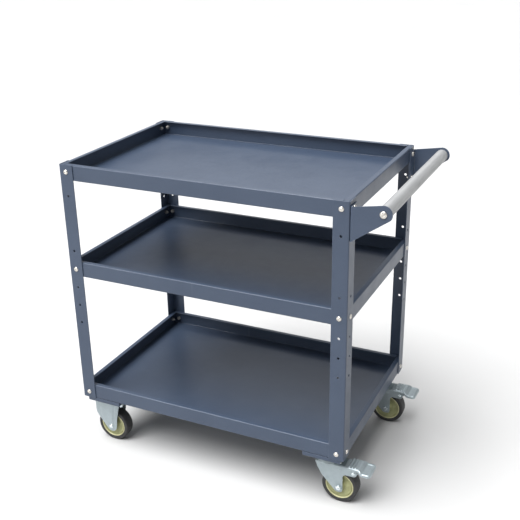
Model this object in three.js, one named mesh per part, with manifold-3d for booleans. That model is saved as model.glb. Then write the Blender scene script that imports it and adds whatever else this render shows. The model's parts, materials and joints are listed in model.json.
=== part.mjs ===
// A three-tier tool cart: four angle posts, three folded trays, a push handle at the +X end,
// two fixed casters at the -X end and two braked swivel casters under the handle.
// Millimetres, +Z up, floor at z = 0. +X points to the push handle, -Y is the front side.

import * as THREE from "three";
import { mergeVertices } from "three/addons/utils/BufferGeometryUtils.js";
import Module from "manifold-3d";

const wasm = await Module();
wasm.setup();

// ---------------------------------------------------------------- driving dimensions

const CART_LENGTH = 745; // over the posts, along X
const CART_WIDTH = 485; // over the posts, along Y
const GAP = 0.3; // air between neighbouring pieces

const POST = { bottom: 145, top: 794, flange: 38, sheet: 2, holeInsetX: 19, holeInsetY: 21 };
const HOLE_RADIUS = 3.3;
const HOLE_SIDES = 8;
const HOLE_REACH = 4; // how far a hole's cutter goes past each face
const HOLE_PITCH = 50;
const ROW_ZERO = 570; // height of the first free hole above the middle shelf
const SHELF_BOLT_Z = { top: 776, middle: ROW_ZERO - HOLE_PITCH, bottom: 161.5 };
const BRACKET_LOW_BOLT_Z = 714.5;
const FREE_HOLES = [BRACKET_LOW_BOLT_Z, ROW_ZERO, ROW_ZERO - 2 * HOLE_PITCH,
  ROW_ZERO - 3 * HOLE_PITCH, ROW_ZERO - 4 * HOLE_PITCH];

const SHELF = { height: 39.5, sheet: 1.5, lip: 12 };
const SHELF_BASE_Z = { top: POST.top - SHELF.height, middle: 500.5, bottom: POST.bottom };

const HANDLE = { x: 445, z: 775.5, tubeRadius: 15, tubeWall: 1.8, endRadius: 19.5, sheet: 2.5 };
const BRACKET = { bottom: 705.5, top: 783.5 };
const HANDLE_PLUG = { length: 22, screwReach: 20, screwRadius: 4 };

const WHEEL = { radius: 46.5, width: 31, tyreInner: 36.2, sides: 28 };
const WHEEL_Y = 193; // centre plane of each wheel, from the cart's middle
const AXLE_Z = WHEEL.radius * Math.cos(Math.PI / WHEEL.sides); // the wheel stands on a flat of its tread
const AXLE = { radius: 4, bushRadius: 7, nutFlats: 13, nutHeight: 6.5, headHeight: 5.3 };
const FORK = { inside: 17, sheet: 2.5, footRadius: 15.5 };
const FIXED_X = -311.5; // axle of the fixed casters
const KINGPIN_X = 316; // swivel axis of the swivel casters
const TRAIL = 35; // swivel axis to axle

const BEAM = { length: 97, sheet: 2, top: POST.bottom - GAP, bottom: 133 };
const BEAM_X = { left: -310.5, right: 314.5 };
const PLATE = { length: 95, width: 67, sheet: 2.7, holesX: 76, holesY: 46, holeRadius: 4.3 };
const PLATE_TOP = BEAM.bottom - GAP;

const CROWN = { top: 110, sheet: 2.5, back: -27, front: 55 };
const RACE = { radius: 25, boreRadius: 6.5, dome: 8, ringInner: 14, ringOuter: 23 };
const KINGPIN = { radius: 6, headRadius: 10, headHeight: 3.2 };

const BRAKE_PIN = { x: 71, z: 95, radius: 3, headRadius: 4.6, headHeight: 1.8 };
const PEDAL = { start: 57.5, bend: 87, tread: 96, end: 114, top: 110, drop: 6, sheet: 2.5,
  halfWidth: 21.2, treadHalfWidth: 25.5, cornerRadius: 7, rim: 2, skirtInside: 14.5,
  skirtOutside: 16.5 };
const PEDAL_RIBS = [61, 68.5, 76];
const SHOE = { halfWidth: 12, clearance: 3.3, from: 44, to: 56 };
const SPRING = { start: 22, end: 56.5, halfWidth: 8, sheet: 0.8, sag: 3.5 };

// ---------------------------------------------------------------- finishes

const PAINT = new THREE.MeshStandardMaterial({ color: 0x55606f, roughness: 0.42, metalness: 0.1 });
const ZINC = new THREE.MeshStandardMaterial({ color: 0xb4bec2, roughness: 0.35, metalness: 0.9 });
const NICKEL = new THREE.MeshStandardMaterial({ color: 0xc8c2b6, roughness: 0.3, metalness: 0.95 });
const GREY_TUBE = new THREE.MeshStandardMaterial({ color: 0xb9bdbc, roughness: 0.5, metalness: 0.3 });
const RUBBER = new THREE.MeshStandardMaterial({ color: 0x2b2b2d, roughness: 0.75, metalness: 0 });
const OLIVE = new THREE.MeshStandardMaterial({ color: 0x9a9a63, roughness: 0.5, metalness: 0.35 });
const PLASTIC = new THREE.MeshStandardMaterial({ color: 0x222326, roughness: 0.6, metalness: 0 });
const SPRING_STEEL = new THREE.MeshStandardMaterial({ color: 0x6d7074, roughness: 0.35, metalness: 0.9 });

// ---------------------------------------------------------------- solids from geometry

function solid(geometry) {
  const bare = geometry.clone();
  bare.deleteAttribute("normal");
  bare.deleteAttribute("uv");
  const merged = mergeVertices(bare, 1e-4);
  return new wasm.Manifold(new wasm.Mesh({
    numProp: 3,
    vertProperties: merged.attributes.position.array,
    triVerts: new Uint32Array(merged.index.array),
  }));
}

function geometryOf(manifold) {
  const mesh = manifold.getMesh();
  const geometry = new THREE.BufferGeometry();
  geometry.setAttribute("position", new THREE.BufferAttribute(mesh.vertProperties, 3));
  geometry.setIndex(new THREE.BufferAttribute(mesh.triVerts, 1));
  geometry.computeVertexNormals();
  return geometry;
}

function union(pieces) {
  return pieces.reduce((whole, piece) => whole.add(piece));
}

// A box between two corners.
function block(low, high) {
  const size = high.map((value, i) => value - low[i]);
  const centre = high.map((value, i) => (value + low[i]) / 2);
  return solid(new THREE.BoxGeometry(...size).translate(...centre));
}

// A round bar along axis "x", "y" or "z", from one value to another on that axis.
// centre holds the two other coordinates, in x, y, z order.
function bar(axis, radius, from, to, centre, sides = 16) {
  const low = Math.min(from, to);
  const length = Math.abs(to - from);
  const geometry = new THREE.CylinderGeometry(radius, radius, length, sides);
  const middle = low + length / 2;
  if (axis === "x") geometry.rotateZ(-Math.PI / 2).translate(middle, centre[0], centre[1]);
  if (axis === "y") geometry.translate(centre[0], middle, centre[1]);
  if (axis === "z") geometry.rotateX(Math.PI / 2).translate(centre[0], centre[1], middle);
  return solid(geometry);
}

// A cutter for a hole across the whole caster, along Y, with a running gap round the given radius.
function crossHole(radius, { x, z }, sides = 12) {
  return bar("y", radius + GAP, -60, 60, [x, z], sides);
}

// A hexagon across the given flats.
function hexagon(axis, flats, from, to, centre) {
  return bar(axis, flats / Math.sqrt(3), from, to, centre, 6);
}

// A Shape as it is, or one made from a list of points.
function shapeOf(outline) {
  if (outline instanceof THREE.Shape) return outline;
  return new THREE.Shape(outline.map(([u, v]) => new THREE.Vector2(u, v)));
}

// An outline in the XZ plane, given as [x, z] points or a Shape, extruded from one y to another.
function plateXZ(outline, from, to) {
  const depth = Math.abs(to - from);
  const options = { depth, bevelEnabled: false, curveSegments: 5 };
  const geometry = new THREE.ExtrudeGeometry(shapeOf(outline), options);
  geometry.rotateX(Math.PI / 2).translate(0, Math.max(from, to), 0);
  return solid(geometry);
}

// An outline in the XY plane extruded from one height to another.
function plateXY(outline, from, to) {
  const options = { depth: to - from, bevelEnabled: false, curveSegments: 4 };
  const geometry = new THREE.ExtrudeGeometry(shapeOf(outline), options);
  return solid(geometry.translate(0, 0, from));
}

// A closed [radius, height] profile as a turned geometry round the Y axis, its faces pointing out.
// It starts half a facet round, so that a flat lies at the bottom.
function turned(profile, sides) {
  const points = profile.map(([radius, height]) => new THREE.Vector2(radius, height));
  if (THREE.ShapeUtils.isClockWise(points)) points.reverse();
  points.push(points[0].clone());
  return new THREE.LatheGeometry(points, sides, Math.PI / sides);
}

function turnedY(profile, sides = WHEEL.sides) {
  return solid(turned(profile, sides));
}

// The same round a vertical axis.
function turnedZ(profile, sides = 16) {
  return solid(turned(profile, sides).rotateX(Math.PI / 2));
}

function meshOf(name, manifold, material) {
  const mesh = new THREE.Mesh(geometryOf(manifold), material.clone());
  mesh.name = name;
  return mesh;
}

const SIDES = { front: -1, rear: 1 };
const ENDS = { left: -1, right: 1 };

// ---------------------------------------------------------------- posts

// An angle post with its corner outwards, drilled with the same row of holes in both flanges.
function post(endSign, sideSign) {
  const cornerX = endSign * CART_LENGTH / 2;
  const cornerY = sideSign * CART_WIDTH / 2;
  const along = (distance) => cornerX - endSign * distance;
  const across = (distance) => cornerY - sideSign * distance;
  const angle = plateXY([
    [along(0), across(0)],
    [along(POST.flange), across(0)],
    [along(POST.flange), across(POST.sheet)],
    [along(POST.sheet), across(POST.sheet)],
    [along(POST.sheet), across(POST.flange)],
    [along(0), across(POST.flange)],
  ], POST.bottom, POST.top);
  const heights = [...Object.values(SHELF_BOLT_Z), ...FREE_HOLES];
  const holes = heights.flatMap((z) => [
    bar("y", HOLE_RADIUS, across(-1), across(POST.sheet + 1), [along(POST.holeInsetX), z], HOLE_SIDES),
    bar("x", HOLE_RADIUS, along(-1), along(POST.sheet + 1), [across(POST.holeInsetY), z], HOLE_SIDES),
  ]);
  return angle.subtract(union(holes));
}

// ---------------------------------------------------------------- shelves

// A folded tray: flat floor, four walls and a lip turned inwards along the top of each wall.
function shelf(baseZ, boltZ) {
  const halfX = CART_LENGTH / 2 - POST.sheet - GAP;
  const halfY = CART_WIDTH / 2 - POST.sheet - GAP;
  const topZ = baseZ + SHELF.height;
  const inside = (inset, low, high) =>
    block([-halfX + inset, -halfY + inset, low], [halfX - inset, halfY - inset, high]);
  const body = inside(0, baseZ, topZ);
  const hollow = inside(SHELF.sheet, baseZ + SHELF.sheet, topZ - SHELF.sheet);
  const mouth = inside(SHELF.lip, topZ - 2 * SHELF.sheet, topZ + 1);
  const holes = Object.values(ENDS).flatMap((endSign) => Object.values(SIDES).flatMap((sideSign) => {
    const x = endSign * (CART_LENGTH / 2 - POST.holeInsetX);
    const y = sideSign * (CART_WIDTH / 2 - POST.holeInsetY);
    const wallX = endSign * halfX;
    const wallY = sideSign * halfY;
    return [
      bar("y", HOLE_RADIUS, wallY - HOLE_REACH, wallY + HOLE_REACH, [x, boltZ], HOLE_SIDES),
      bar("x", HOLE_RADIUS, wallX - HOLE_REACH, wallX + HOLE_REACH, [y, boltZ], HOLE_SIDES),
    ];
  }));
  return body.subtract(union([hollow, mouth, ...holes]));
}

// A shallow folded pan under the bottom shelf that spreads the load of one pair of casters.
function casterBeam(centreX) {
  const halfX = BEAM.length / 2;
  const halfY = CART_WIDTH / 2 - POST.sheet - GAP;
  const body = block([centreX - halfX, -halfY, BEAM.bottom], [centreX + halfX, halfY, BEAM.top]);
  const hollow = block(
    [centreX - halfX + BEAM.sheet, -halfY + BEAM.sheet, BEAM.bottom + BEAM.sheet],
    [centreX + halfX - BEAM.sheet, halfY - BEAM.sheet, BEAM.top + 1],
  );
  const holes = Object.values(SIDES).flatMap((sideSign) =>
    plateHoles(centreX, sideSign * WHEEL_Y, BEAM.bottom - 1, BEAM.bottom + BEAM.sheet + 1));
  return body.subtract(union([hollow, ...holes]));
}

// The four bolt holes of a caster plate.
function plateHoles(centreX, centreY, low, high) {
  return [-1, 1].flatMap((signX) => [-1, 1].map((signY) => bar("z", PLATE.holeRadius, low, high,
    [centreX + signX * PLATE.holesX / 2, centreY + signY * PLATE.holesY / 2], HOLE_SIDES)));
}

// ---------------------------------------------------------------- handle

// A folded bracket: a flange bolted over the post and a gusset that carries the tube's end.
function handleBracket(sideSign) {
  const outerY = sideSign * CART_WIDTH / 2;
  const backX = CART_LENGTH / 2 + GAP;
  const flange = block(
    [backX, Math.min(outerY, outerY - sideSign * POST.flange), BRACKET.bottom],
    [backX + HANDLE.sheet, Math.max(outerY, outerY - sideSign * POST.flange), BRACKET.top],
  );
  const tipAngle = Math.atan2(HANDLE.z - BRACKET.bottom, HANDLE.x - backX) - Math.PI / 2
    + Math.asin(HANDLE.endRadius / Math.hypot(HANDLE.x - backX, HANDLE.z - BRACKET.bottom));
  const gusset = new THREE.Shape();
  gusset.moveTo(backX, BRACKET.bottom);
  gusset.absarc(HANDLE.x, HANDLE.z, HANDLE.endRadius, tipAngle, Math.PI / 2, false);
  gusset.lineTo(backX, BRACKET.top);
  const hook = plateXZ(gusset, outerY, outerY - sideSign * HANDLE.sheet);
  const boltY = sideSign * (CART_WIDTH / 2 - POST.holeInsetY);
  const holes = [SHELF_BOLT_Z.top, BRACKET_LOW_BOLT_Z].map((z) =>
    bar("x", HOLE_RADIUS, backX - 1, backX + HANDLE.sheet + 1, [boltY, z], HOLE_SIDES));
  const tubeHole = bar("y", HANDLE_PLUG.screwRadius + GAP, outerY + sideSign,
    outerY - sideSign * (HANDLE.sheet + 1), [HANDLE.x, HANDLE.z], 12);
  return union([flange, hook]).subtract(union([...holes, tubeHole]));
}

function handleTube() {
  const half = CART_WIDTH / 2 - HANDLE.sheet - GAP;
  const inner = HANDLE.tubeRadius - HANDLE.tubeWall;
  const ring = [[inner, -half], [HANDLE.tubeRadius, -half], [HANDLE.tubeRadius, half], [inner, half]];
  return turnedY(ring, 32).translate([HANDLE.x, 0, HANDLE.z]);
}

// A threaded plug pressed into one end of the tube.
function handlePlug(sideSign) {
  const outer = sideSign * (CART_WIDTH / 2 - HANDLE.sheet - GAP);
  const inner = outer - sideSign * HANDLE_PLUG.length;
  const centre = [HANDLE.x, HANDLE.z];
  const plug = bar("y", HANDLE.tubeRadius - HANDLE.tubeWall - GAP, inner, outer, centre, 24);
  return plug.subtract(bar("y", HANDLE_PLUG.screwRadius + GAP, -CART_WIDTH, CART_WIDTH, centre, 12));
}

function handleScrew(sideSign) {
  const face = sideSign * (CART_WIDTH / 2 + GAP);
  const centre = [HANDLE.x, HANDLE.z];
  const tip = face - sideSign * (HANDLE.sheet + HANDLE_PLUG.screwReach);
  const head = panHead("y", 8, 4.6, face, sideSign, centre);
  return head.add(bar("y", HANDLE_PLUG.screwRadius, tip, face + sideSign, centre, 12));
}

// A stepped head on one face, with a hexagon socket in it.
function panHead(axis, radius, height, face, outward, centre) {
  const rim = bar(axis, radius, face, face + outward * height * 0.55, centre, 12);
  const dome = bar(axis, radius * 0.8, face, face + outward * height, centre, 12);
  const floor = face + outward * height * 0.5;
  const socket = hexagon(axis, radius * 0.7, floor, face + outward * (height + 1), centre);
  return rim.add(dome).subtract(socket);
}

// An M6 screw through bracket and post, with its nut against the given inner wall.
function bracketScrew(sideSign, z, wallX) {
  const headX = CART_LENGTH / 2 + 2 * GAP + HANDLE.sheet;
  const centre = [sideSign * (CART_WIDTH / 2 - POST.holeInsetY), z];
  const nutX = wallX - GAP;
  const head = panHead("x", 6.4, 3.8, headX, 1, centre);
  const shank = bar("x", 3, nutX - 7.5, headX + 1, centre, HOLE_SIDES);
  return union([head, shank, hexagon("x", 10, nutX - 5, nutX, centre)]);
}

function upperScrew(sideSign) {
  return bracketScrew(sideSign, SHELF_BOLT_Z.top, CART_LENGTH / 2 - POST.sheet - GAP - SHELF.sheet);
}

function lowerScrew(sideSign) {
  return bracketScrew(sideSign, BRACKET_LOW_BOLT_Z, CART_LENGTH / 2 - POST.sheet);
}

// ---------------------------------------------------------------- wheels, in the axle's own frame

// Both halves of a profile that is the same on each side of the wheel's centre plane.
function bothSides(side) {
  return [...side, ...side.map(([radius, y]) => [radius, -y]).reverse()];
}

function tyre() {
  const half = WHEEL.width / 2;
  return turnedY(bothSides([
    [WHEEL.tyreInner, half - 1.2],
    [WHEEL.radius - 6, half],
    [WHEEL.radius - 1.8, half - 2],
    [WHEEL.radius, half / 2],
  ]));
}

function hub() {
  const rim = WHEEL.tyreInner - GAP;
  const half = WHEEL.width / 2;
  return turnedY(bothSides([
    [rim, half - 1.5],
    [rim - 2.4, half - 1.5],
    [rim - 4, half - 5],
    [12.5, half - 6.5],
    [11, half - 1],
    [AXLE.bushRadius + GAP, half - 1],
  ]));
}

function bush() {
  const half = FORK.inside - GAP;
  const bore = AXLE.radius + GAP;
  return turnedY([[bore, -half], [AXLE.bushRadius, -half], [AXLE.bushRadius, half], [bore, half]], 16);
}

// Hexagon-head axle bolt, its head on the cart's inner side.
function axleBolt(sideSign) {
  const face = FORK.inside + FORK.sheet + GAP;
  const reach = face + AXLE.nutHeight + 2.5;
  const shank = bar("y", AXLE.radius, -sideSign * face, sideSign * reach, [0, 0], 12);
  const head = hexagon("y", AXLE.nutFlats, -sideSign * face, -sideSign * (face + AXLE.headHeight), [0, 0]);
  return shank.add(head);
}

function axleNut(sideSign) {
  const face = FORK.inside + FORK.sheet + GAP;
  const nut = hexagon("y", AXLE.nutFlats, sideSign * face, sideSign * (face + AXLE.nutHeight), [0, 0]);
  return nut.subtract(crossHole(AXLE.radius, { x: 0, z: 0 }));
}

// The pieces that turn on an axle and the ones that hold it, in a group placed at the axle.
function wheelGroup(name, sideSign, axleX) {
  const group = new THREE.Group();
  group.position.set(axleX, sideSign * WHEEL_Y, AXLE_Z);
  group.add(
    meshOf(`${name}_tyre`, tyre(), RUBBER),
    meshOf(`${name}_wheel_hub`, hub(), OLIVE),
    meshOf(`${name}_axle_bush`, bush(), ZINC),
    meshOf(`${name}_axle_bolt`, axleBolt(sideSign), ZINC),
    meshOf(`${name}_axle_nut`, axleNut(sideSign), ZINC),
  );
  return group;
}

// ---------------------------------------------------------------- forks, in the caster's own frame

// Two mirrored fork legs cut from one outline, with the axle hole through both.
function legs(outline, axleX) {
  const pair = Object.values(SIDES).map((sign) =>
    plateXZ(outline, sign * FORK.inside, sign * (FORK.inside + FORK.sheet)));
  return union(pair).subtract(crossHole(AXLE.radius, { x: axleX, z: AXLE_Z }));
}

// The foot of a leg: an arc round the axle from one angle to another, in degrees.
function foot(shape, axleX, from, to) {
  const radians = THREE.MathUtils.degToRad;
  shape.absarc(axleX, AXLE_Z, FORK.footRadius, radians(from), radians(to), false);
}

// Fixed fork: a flat plate with two tapering legs folded down from it. Its origin is on the axle's line.
function fixedFork(plateX) {
  const low = PLATE_TOP - PLATE.sheet;
  const shape = new THREE.Shape();
  shape.moveTo(-46.5, low + 1);
  shape.lineTo(-46.5, AXLE_Z + 46);
  shape.quadraticCurveTo(-46, AXLE_Z + 34, -39, AXLE_Z + 24);
  foot(shape, 0, 222, 360);
  shape.lineTo(17, AXLE_Z + 22);
  shape.lineTo(31, low + 1);
  const plate = block(
    [plateX - PLATE.length / 2, -PLATE.width / 2, low],
    [plateX + PLATE.length / 2, PLATE.width / 2, PLATE_TOP],
  );
  return union([plate, legs(shape, 0)]).subtract(union(plateHoles(plateX, 0, low - 1, PLATE_TOP + 1)));
}

// Swivel fork: a crown with a raised race round the kingpin, two legs that trail behind it and
// a pair of arms that carry the brake pedal. Its origin is on the kingpin's line.
function swivelFork() {
  const shape = new THREE.Shape();
  shape.moveTo(CROWN.back, CROWN.top);
  shape.lineTo(CROWN.back + 6.5, CROWN.top - 19);
  shape.lineTo(CROWN.back + 17, CROWN.top - 38.5);
  foot(shape, TRAIL, 222, 300);
  shape.lineTo(TRAIL + 9.3, AXLE_Z - 8);
  shape.lineTo(TRAIL + 9.3, AXLE_Z + 30);
  shape.quadraticCurveTo(TRAIL + 10, BRAKE_PIN.z - 9, TRAIL + 18, BRAKE_PIN.z - 9);
  shape.absarc(BRAKE_PIN.x, BRAKE_PIN.z, 9, -Math.PI / 2, Math.PI * 0.42, false);
  shape.lineTo(CROWN.front, CROWN.top - 2.5);
  shape.lineTo(CROWN.front - 6, CROWN.top);
  const outside = FORK.inside + FORK.sheet;
  const under = CROWN.top - CROWN.sheet;
  const crown = block([CROWN.back, -outside, under], [CROWN.front - 2, outside, CROWN.top]);
  const race = turnedZ([
    [RACE.boreRadius, CROWN.top - 1],
    [RACE.radius, CROWN.top - 1],
    [RACE.ringOuter, CROWN.top + RACE.dome],
    [RACE.boreRadius, CROWN.top + RACE.dome],
  ]);
  const disc = bar("z", RACE.radius + 1.5, under, CROWN.top, [0, 0]);
  const bore = bar("z", RACE.boreRadius, CROWN.top - 10, CROWN.top + 12, [0, 0], 12);
  const cuts = bore.add(crossHole(BRAKE_PIN.radius, BRAKE_PIN));
  return union([legs(shape, TRAIL), crown, race, disc]).subtract(cuts);
}

function topPlate() {
  const low = PLATE_TOP - PLATE.sheet;
  const centreX = BEAM_X.right - KINGPIN_X;
  const plate = block(
    [centreX - PLATE.length / 2, -PLATE.width / 2, low],
    [centreX + PLATE.length / 2, PLATE.width / 2, PLATE_TOP],
  );
  const dish = turnedZ([
    [RACE.boreRadius, CROWN.top + RACE.dome + 6],
    [RACE.ringOuter, CROWN.top + RACE.dome + 6],
    [RACE.radius + 4, low + 1],
    [RACE.boreRadius, low + 1],
  ]);
  const bore = bar("z", RACE.boreRadius, low - 10, PLATE_TOP + 1, [0, 0], 12);
  return union([plate, dish])
    .subtract(union([bore, ...plateHoles(centreX, 0, low - 1, PLATE_TOP + 1)]));
}

// The caged balls between the two races, as one ring.
function ballRing() {
  const low = CROWN.top + RACE.dome + GAP;
  const high = CROWN.top + RACE.dome + 6 - GAP;
  return turnedZ([
    [RACE.ringInner, low + 1.5],
    [RACE.ringInner + 2, low],
    [RACE.ringOuter - 2, low],
    [RACE.ringOuter, low + 1.5],
    [RACE.ringOuter, high - 1.5],
    [RACE.ringOuter - 2, high],
    [RACE.ringInner + 2, high],
    [RACE.ringInner, high - 1.5],
  ]);
}

function kingpin() {
  const under = CROWN.top - CROWN.sheet - GAP;
  return bar("z", KINGPIN.radius, under - 1, PLATE_TOP, [0, 0], 16)
    .add(bar("z", KINGPIN.headRadius, under - KINGPIN.headHeight, under, [0, 0], 16));
}

// ---------------------------------------------------------------- brake, in the caster's own frame

// The foot pedal: a ribbed plate with two skirts that hang on the pin, stepping down to a wide tread.
function brakePedal() {
  const under = PEDAL.top - PEDAL.sheet;
  const step = plateXZ([
    [PEDAL.start, PEDAL.top],
    [PEDAL.start, under],
    [PEDAL.bend, under],
    [PEDAL.tread, under - PEDAL.drop],
    [PEDAL.tread + 3, under - PEDAL.drop],
    [PEDAL.tread + 3, PEDAL.top - PEDAL.drop],
    [PEDAL.tread + 1, PEDAL.top - PEDAL.drop],
    [PEDAL.bend + 1, PEDAL.top],
  ], -PEDAL.halfWidth, PEDAL.halfWidth);
  const rimHeight = under - PEDAL.drop - PEDAL.rim;
  const tread = plateXY(treadOutline(0), rimHeight, PEDAL.top - PEDAL.drop)
    .subtract(plateXY(treadOutline(PEDAL.rim), rimHeight - 1, under - PEDAL.drop));
  const ribs = PEDAL_RIBS.map((x) =>
    block([x - 1, -PEDAL.halfWidth + 4, PEDAL.top - 1], [x + 1, PEDAL.halfWidth - 4, PEDAL.top + 1.2]));
  const skirts = Object.values(SIDES).map((sign) => plateXZ([
    [PEDAL.start + 1, under + 1],
    [PEDAL.start + 1, BRAKE_PIN.z + 3],
    [BRAKE_PIN.x - 5, BRAKE_PIN.z - 6],
    [BRAKE_PIN.x + 7, BRAKE_PIN.z - 5],
    [PEDAL.bend, under - 7],
    [PEDAL.bend, under + 1],
  ], sign * PEDAL.skirtInside, sign * PEDAL.skirtOutside));
  return union([step, tread, ...ribs, ...skirts]).subtract(crossHole(BRAKE_PIN.radius, BRAKE_PIN));
}

// The tread seen from above: a rectangle with rounded outer corners, drawn in by the given margin.
function treadOutline(margin) {
  const low = PEDAL.tread + margin;
  const high = PEDAL.end - margin;
  const half = PEDAL.treadHalfWidth - margin;
  const round = PEDAL.cornerRadius - margin;
  const shape = new THREE.Shape();
  shape.moveTo(low, -half);
  shape.absarc(high - round, -half + round, round, -Math.PI / 2, 0, false);
  shape.absarc(high - round, half - round, round, 0, Math.PI / 2, false);
  shape.lineTo(low, half);
  return shape;
}

// The cam under the pedal; its curved face closes on the tyre as the pedal goes down.
function brakeShoe() {
  const reach = WHEEL.radius + SHOE.clearance;
  const radians = THREE.MathUtils.degToRad;
  const shape = new THREE.Shape();
  shape.moveTo(BRAKE_PIN.x + 7, PEDAL.top - PEDAL.sheet - GAP);
  shape.lineTo(BRAKE_PIN.x - 8, PEDAL.top - PEDAL.sheet - GAP);
  shape.absarc(TRAIL, AXLE_Z, reach, radians(SHOE.to), radians(SHOE.from), true);
  shape.lineTo(BRAKE_PIN.x + 8, BRAKE_PIN.z - 8);
  return plateXZ(shape, -SHOE.halfWidth, SHOE.halfWidth).subtract(crossHole(BRAKE_PIN.radius, BRAKE_PIN));
}

function brakePin() {
  const face = FORK.inside + FORK.sheet + GAP;
  const centre = [BRAKE_PIN.x, BRAKE_PIN.z];
  const heads = Object.values(SIDES).map((sign) =>
    bar("y", BRAKE_PIN.headRadius, sign * face, sign * (face + BRAKE_PIN.headHeight), centre, 12));
  return union([bar("y", BRAKE_PIN.radius, -face - 0.5, face + 0.5, centre, 12), ...heads]);
}

// A leaf spring under the crown that clicks the pedal into its two places.
function brakeSpring() {
  const high = CROWN.top - CROWN.sheet - GAP;
  return plateXZ([
    [SPRING.start, high],
    [SPRING.start, high - SPRING.sheet],
    [SPRING.end - 8, high - SPRING.sheet],
    [SPRING.end, high - SPRING.sheet - SPRING.sag],
    [SPRING.end, high - SPRING.sag],
    [SPRING.end - 8, high],
  ], -SPRING.halfWidth, SPRING.halfWidth);
}

// ---------------------------------------------------------------- assembly

const cart = new THREE.Group();

for (const [endName, endSign] of Object.entries(ENDS)) {
  for (const [sideName, sideSign] of Object.entries(SIDES)) {
    cart.add(meshOf(`post_${sideName}_${endName}`, post(endSign, sideSign), PAINT));
  }
  cart.add(meshOf(`caster_beam_${endName}`, casterBeam(BEAM_X[endName]), PAINT));
}

for (const level of Object.keys(SHELF_BASE_Z)) {
  cart.add(meshOf(`shelf_${level}`, shelf(SHELF_BASE_Z[level], SHELF_BOLT_Z[level]), PAINT));
}

cart.add(meshOf("handle_tube", handleTube(), GREY_TUBE));
for (const [sideName, sideSign] of Object.entries(SIDES)) {
  cart.add(
    meshOf(`handle_bracket_${sideName}`, handleBracket(sideSign), PAINT),
    meshOf(`handle_plug_${sideName}`, handlePlug(sideSign), PLASTIC),
    meshOf(`handle_screw_${sideName}`, handleScrew(sideSign), NICKEL),
    meshOf(`bracket_screw_${sideName}_upper`, upperScrew(sideSign), NICKEL),
    meshOf(`bracket_screw_${sideName}_lower`, lowerScrew(sideSign), NICKEL),
  );
}

for (const [sideName, sideSign] of Object.entries(SIDES)) {
  const fixedName = `${sideName}_fixed`;
  const fixed = new THREE.Group();
  fixed.position.set(FIXED_X, sideSign * WHEEL_Y, 0);
  fixed.add(meshOf(`${fixedName}_fork`, fixedFork(BEAM_X.left - FIXED_X), ZINC));
  cart.add(fixed, wheelGroup(fixedName, sideSign, FIXED_X));

  const swivelName = `${sideName}_swivel`;
  const swivel = new THREE.Group();
  swivel.position.set(KINGPIN_X, sideSign * WHEEL_Y, 0);
  swivel.add(
    meshOf(`${swivelName}_top_plate`, topPlate(), ZINC),
    meshOf(`${swivelName}_ball_ring`, ballRing(), ZINC),
    meshOf(`${swivelName}_kingpin`, kingpin(), ZINC),
    meshOf(`${swivelName}_fork`, swivelFork(), ZINC),
    meshOf(`${swivelName}_brake_pedal`, brakePedal(), ZINC),
    meshOf(`${swivelName}_brake_shoe`, brakeShoe(), ZINC),
    meshOf(`${swivelName}_brake_pin`, brakePin(), ZINC),
    meshOf(`${swivelName}_brake_spring`, brakeSpring(), SPRING_STEEL),
  );
  cart.add(swivel, wheelGroup(swivelName, sideSign, KINGPIN_X + TRAIL));
}

// The origin is under the middle of the whole cart, handle included.
cart.position.x = -(HANDLE.x + HANDLE.endRadius - CART_LENGTH / 2) / 2;

const part = new THREE.Group();
part.add(cart);

export default part;
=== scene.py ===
"""Looks of the three-tier tool cart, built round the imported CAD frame.

Metres, +Z up, +X to the push handle, -Y to the front. Lengths written with MM are millimetres."""

import json
import math

import bmesh
import bpy
from mathutils import Matrix, Vector


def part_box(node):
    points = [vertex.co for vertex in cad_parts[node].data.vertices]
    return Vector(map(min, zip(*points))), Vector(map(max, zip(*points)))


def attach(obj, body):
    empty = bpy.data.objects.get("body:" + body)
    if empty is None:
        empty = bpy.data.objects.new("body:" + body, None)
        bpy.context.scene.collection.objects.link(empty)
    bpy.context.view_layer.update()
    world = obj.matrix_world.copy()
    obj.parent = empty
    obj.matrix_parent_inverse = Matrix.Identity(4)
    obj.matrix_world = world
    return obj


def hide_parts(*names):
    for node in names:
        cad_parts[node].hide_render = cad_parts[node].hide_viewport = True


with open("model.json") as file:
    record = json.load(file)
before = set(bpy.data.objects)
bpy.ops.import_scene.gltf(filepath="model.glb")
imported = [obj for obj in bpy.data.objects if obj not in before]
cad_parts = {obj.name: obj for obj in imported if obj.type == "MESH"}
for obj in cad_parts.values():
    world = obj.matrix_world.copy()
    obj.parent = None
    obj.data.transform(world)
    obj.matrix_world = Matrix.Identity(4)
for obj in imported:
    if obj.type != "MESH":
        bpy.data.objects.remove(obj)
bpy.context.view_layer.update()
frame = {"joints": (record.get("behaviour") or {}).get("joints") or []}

MM = 0.001
SIDES = {"front": -1, "rear": 1}
ENDS = {"left": -1, "right": 1}
LEVELS = ("top", "middle", "bottom")
FRAME_BODY = "cart_frame"
scene = bpy.context.scene


def joint_point(name):
    """Where a joint turns, from the record."""
    found = next(joint for joint in frame["joints"] if joint["name"] == name)
    return Vector(found["pos_m"])


# ---------------------------------------------------------------- sizes read from the frame

POSTS_LOW = Vector(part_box("post_front_left")[0])
POSTS_HIGH = Vector(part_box("post_rear_right")[1])
MIDDLE_X = (POSTS_LOW.x + POSTS_HIGH.x) / 2  # the middle of the posts, where the cart is symmetric end to end
HALF_LENGTH = (POSTS_HIGH.x - POSTS_LOW.x) / 2
HALF_WIDTH = (POSTS_HIGH.y - POSTS_LOW.y) / 2
POST_BOTTOM = POSTS_LOW.z
POST_TOP = POSTS_HIGH.z

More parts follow.
